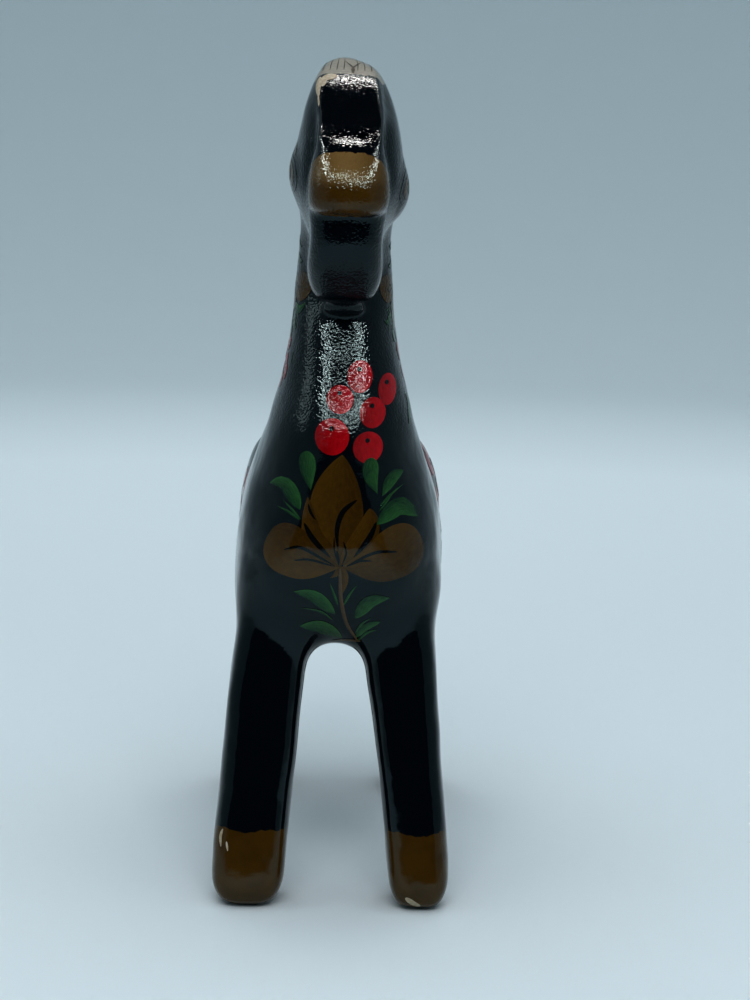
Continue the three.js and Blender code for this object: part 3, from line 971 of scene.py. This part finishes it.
def paint_eyes():
    """An eye on each side: a dark rim, an ochre almond, a pupil with a glint, and three lashes."""
    for view, height in ((RIGHT, 190.2), (LEFT, 187.4)):
        rim = [(-53, height - 1.8), (-45, height + 0.2), (-37, height + 1.4)]
        almond = [(-51, height - 1.2), (-45, height + 0.2), (-39, height + 1.2)]
        lines.stroke(view, rim, 9.4, 0.6, 0.7)
        petals.stroke(view, almond, 6.6, 0.6, 0.7, lift=0.1)
        lines.stroke(view, [(-45.6, height + 2.2), (-45.6, height - 1.8)], 4.2, 0.5, 0.5, lift=0.14, step=0.5)
        chips.stroke(view, [(-46.6, height + 1.2), (-46.6, height + 0.4)], 0.8, 0.5, 0.5, lift=0.18, step=0.3)
        for k in range(3):
            lash = [(-49 + 4 * k, height + 4.6), (-48 + 4 * k, height + 6.4), (-46 + 4 * k, height + 7.8)]
            petals.stroke(view, lash, 0.9, 0.4, 0.9, lift=0.08, step=0.5)


PARTING = 1.2


def paint_forelock():
    """Fine strokes over the crown, combed back from a parting."""
    for bend in (-2.2, 2.4):
        spine = [(PARTING, -47.2), (PARTING, -43.5), (PARTING + bend, -38.5)]
        stems.stroke(TOP, spine, 0.6, 0.4, 1.0, lift=0.1, step=0.4)
    for k in range(8):
        x = -6.6 + 1.8 * k
        if abs(x - PARTING) > 1.2:
            comb = [(x, -45.5), (x * 0.95 + 0.1, -41), (x * 0.8, -36)]
            stems.stroke(TOP, comb, 0.25, 0.5, 1.0, lift=0.08, step=0.4)


chips = Paint()
# Where the lacquer is chipped away: the side, the spine and the width.
CHIPS = [
    (FRONT, [(-6.8, 214.0), (-5.2, 214.8), (-2.8, 215.2)], 1.5),
    (FRONT, [(-7.0, 214.8), (-7.5, 212.2), (-7.3, 209.8)], 1.3),
    (FRONT, [(-5.6, 214.6), (-6.6, 212.4)], 1.2),
    (FRONT, [(-7.4, 210.4), (-7.1, 207.4)], 0.5),
    (FRONT, [(-27.6, 20.6), (-28.2, 18.6), (-28, 16)], 0.7),
    (FRONT, [(-26.6, 17.6), (-26.2, 15.2)], 0.6),
    (FRONT, [(20.4, 4.2), (22.6, 2.6), (24.4, 1.8)], 1.5),
]
bouquet(FRONT, (1.0, 91.2))
for view, hand in ((RIGHT, 1), (LEFT, -1)):
    bouquet(view, (-27.0, 161.0), turn=172, scale=0.55, hand=hand)
    bouquet(view, (2.0, 92.0), turn=-82, scale=0.92, hand=hand)
paint_mane()
paint_eyes()
paint_forelock()
for view, spine, width in CHIPS:
    chips.stroke(view, spine, width, 0.45, 0.55, lift=0.12, step=0.4)

petal_paint = brushed_paint("ochre_paint", OCHRE_DARK, OCHRE)
leaf_paint = brushed_paint("green_paint", GREEN_DARK, GREEN)
berry_paint = brushed_paint("red_paint", RED_DARK, RED)
line_paint = brushed_paint("black_line_paint", BLACK, (0.004, 0.003, 0.002))
stem_paint = brushed_paint("brown_line_paint", (0.05, 0.03, 0.014), (0.10, 0.06, 0.03))
show("painted_petals", petals.mesh("painted_petals"), petal_paint)
show("painted_leaves", leaves.mesh("painted_leaves"), leaf_paint)
show("painted_berries", berries.mesh("painted_berries"), berry_paint)
show("painted_lines", lines.mesh("painted_lines"), line_paint)
show("painted_stems", stems.mesh("painted_stems"), stem_paint)
show("chips", chips.mesh("chips"), bare_ground())


# ------------------------------------------------------------------ floor, light and camera


def stage_piece(name, points, faces, material):
    mesh = bpy.data.meshes.new(name)
    mesh.from_pydata(points, [], faces)
    mesh.shade_smooth()
    mesh.materials.append(material)
    thing = bpy.data.objects.new(name, mesh)
    bpy.context.scene.collection.objects.link(thing)
    return thing


FLOOR_RADIUS = 1.15
BEND_RADIUS = 0.35
WALL_HEIGHT = 1.3
PALE, FALLOFF_GREY = (0.79, 0.85, 0.875), (0.50, 0.567, 0.592)
LIT_RADIUS, FALLOFF_RADIUS = 0.76, 1.5  # painted shade: the paper's colour darkens between these, in place of the light falling off


def studio_paper():
    finish = Finish("studio_paper")
    place = finish.add("SeparateXYZ", {"Vector": finish.where()})
    x = place.node.outputs["X"]
    y = place.node.outputs["Y"]
    squares = finish.math("ADD", finish.math("MULTIPLY", x, x), finish.math("MULTIPLY", y, y))
    # Painted shade: the paper's colour darkens with distance from the figure, standing in for the light's
    # falloff.
    share = finish.spread(finish.math("SQRT", squares), LIT_RADIUS, FALLOFF_RADIUS)
    finish.set(Base_Color=finish.mix(share, PALE, FALLOFF_GREY), Roughness=0.9)
    finish.set(Specular_IOR_Level=0.1)
    return finish.material


def build_studio():
    """A round paper sweep, so that the same pale ground lies behind the figure from every side."""
    turns, bends = 96, 12
    rim = [(r, 0.0) for r in (0.02, 0.2, 0.5, 0.8, FLOOR_RADIUS)]
    for k in range(1, bends + 1):
        angle = math.pi / 2 * k / bends
        rim.append((FLOOR_RADIUS + BEND_RADIUS * math.sin(angle), BEND_RADIUS * (1 - math.cos(angle))))
    rim.append((FLOOR_RADIUS + BEND_RADIUS, WALL_HEIGHT))
    points = [(0.0, 0.0, 0.0)]
    for radius, height in rim:
        for k in range(turns):
            angle = 2 * math.pi * k / turns
            points.append((radius * math.cos(angle), radius * math.sin(angle), height))
    faces = [(0, 1 + k, 1 + (k + 1) % turns) for k in range(turns)]
    for ring in range(len(rim) - 1):
        low, high = 1 + ring * turns, 1 + (ring + 1) * turns
        for k in range(turns):
            near = (k + 1) % turns
            faces.append((low + k, high + k, high + near, low + near))
    stage_piece("paper_sweep", points, faces, studio_paper())


BEAD_SIZE = 0.011
BEAD_COLOUR = (1.0, 0.86, 0.81, 1)  # warm, so that the lacquer's cool gloss shows it white
PANEL_COLOUR = (1.0, 0.99, 0.97, 1)


def reflected_card(name, points, glow=0.0, beads=False):
    """Seen only in the gloss of the lacquer: a dark opening, or a lit panel, which may be of small lamps."""
    finish = Finish(name)
    if beads:
        lamps = finish.noise(BEAD_SIZE, 1.0)
        glow = finish.spread(lamps, 0.42, 0.6, 0.1 * glow, glow)
    finish.set(Base_Color=(0.0, 0.0, 0.0, 1), Roughness=1.0, Emission_Strength=glow)
    finish.set(Specular_IOR_Level=0.0, Emission_Color=BEAD_COLOUR if beads else PANEL_COLOUR)
    card = stage_piece(name, points, [(0, 1, 2, 3)], finish.material)
    card.visible_camera = False
    card.visible_diffuse = False
    card.visible_shadow = False


STRIP_HEIGHT = 0.42
STRIP_FRONT, STRIP_BACK, STRIP_SIDE = -0.425, 0.067, 0.23
STRIP_WIDTH = 0.036
BACK_STRIP_HALF, BACK_STRIP_WIDTH = 0.12, 0.022
STRIP_GLOW = 90.0


def build_reflected_ring():
    """Four lit strips in a rectangle over the figure, which is open at its two back corners."""
    near, far, side = STRIP_FRONT, STRIP_BACK, STRIP_SIDE
    half, back_half = STRIP_WIDTH / 2, BACK_STRIP_WIDTH / 2
    strips = [(-side, near - half, side, near + half)]
    strips.append((-BACK_STRIP_HALF, far - back_half, BACK_STRIP_HALF, far + back_half))
    strips += [(x - half, near, x + half, 0) for x in (-side, side)]
    for k, (x0, y0, x1, y1) in enumerate(strips):
        corners = [(x, y, STRIP_HEIGHT) for x, y in ((x0, y0), (x1, y0), (x1, y1), (x0, y1))]
        reflected_card("strip_%d" % k, corners, STRIP_GLOW, True)


def build_reflected_room():
    """Dark openings in front and overhead, a dim glow behind and a tall window on the animal's right."""
    front, overhead_back, overhead = -0.95, 0.04, 0.5
    front_half, overhead_half = 0.85, 0.4
    corners = [(-front_half, front, 0.0), (front_half, front, 0.0)]
    corners += [(front_half, front, overhead), (-front_half, front, overhead)]
    reflected_card("front_opening", corners)
    corners = [(-overhead_half, front, overhead), (overhead_half, front, overhead)]
    corners += [(overhead_half, overhead_back, 0.44), (-overhead_half, overhead_back, 0.44)]
    reflected_card("top_opening", corners)
    corners = [(-0.22, 0.12, 0.62), (0.22, 0.12, 0.62), (0.22, 0.5, 0.6), (-0.22, 0.5, 0.6)]
    reflected_card("back_glow", corners, 0.8)
    corners = [(-0.9, -0.16, 0.42), (-0.9, 0.16, 0.42), (-0.9, 0.16, 0.95), (-0.9, -0.16, 0.95)]
    reflected_card("left_window", corners, 2.6)


def softbox(name, place, aim, size, power):
    """A large soft lamp that lights the scene and doesn't show in the gloss."""
    lamp = bpy.data.lights.new(name, "AREA")
    lamp.shape = "RECTANGLE"
    lamp.size, lamp.size_y = size
    lamp.energy = power
    lamp.color = (0.97, 0.98, 1.0)
    holder = bpy.data.objects.new(name, lamp)
    holder.location = place
    holder.rotation_euler = (Vector(aim) - Vector(place)).to_track_quat("-Z", "Y").to_euler()
    holder.visible_camera = False
    holder.visible_glossy = False
    bpy.context.scene.collection.objects.link(holder)


def build_world():
    world = bpy.data.worlds.new("soft_room")
    world.use_nodes = True
    background = world.node_tree.nodes["Background"]
    background.inputs["Color"].default_value = (0.36, 0.395, 0.415, 1)
    background.inputs["Strength"].default_value = 2.0
    bpy.context.scene.world = world


build_studio()
build_world()
build_reflected_ring()
softbox("key", (0, -0.65, 0.62), (0, 0, 0.03), (0.5, 0.4), 2.4)
softbox("far", (0, 0.8, 1.0), (0, 0.85, 0), (1.4, 0.5), 3.2)
build_reflected_room()

# Distances are in the figure's millimetres, and turns in radians.
CAMERA_DISTANCE = 650  # in front of the chest
CHEST = -61
CAMERA_HEIGHT = 210
CAMERA_PITCH = math.radians(8.92)
CAMERA_YAW = math.radians(0.85)
CAMERA_ROLL = math.radians(1.6)
LENS = 92.2


def build_camera():
    data = bpy.data.cameras.new("camera")
    data.lens = LENS
    camera = bpy.data.objects.new("camera", data)
    turn = Matrix.Rotation(-CAMERA_YAW, 4, "Z") @ Matrix.Rotation(math.pi / 2 - CAMERA_PITCH, 4, "X")
    camera.rotation_euler = (turn @ Matrix.Rotation(CAMERA_ROLL, 4, "Z")).to_euler()
    camera.location = Vector((0, CHEST - CAMERA_DISTANCE, CAMERA_HEIGHT)) * MM
    bpy.context.scene.collection.objects.link(camera)
    bpy.context.scene.camera = camera


build_camera()
bpy.context.scene.view_settings.view_transform = "Standard"
bpy.context.scene.view_settings.gamma = 0.8  # deepens the shadows
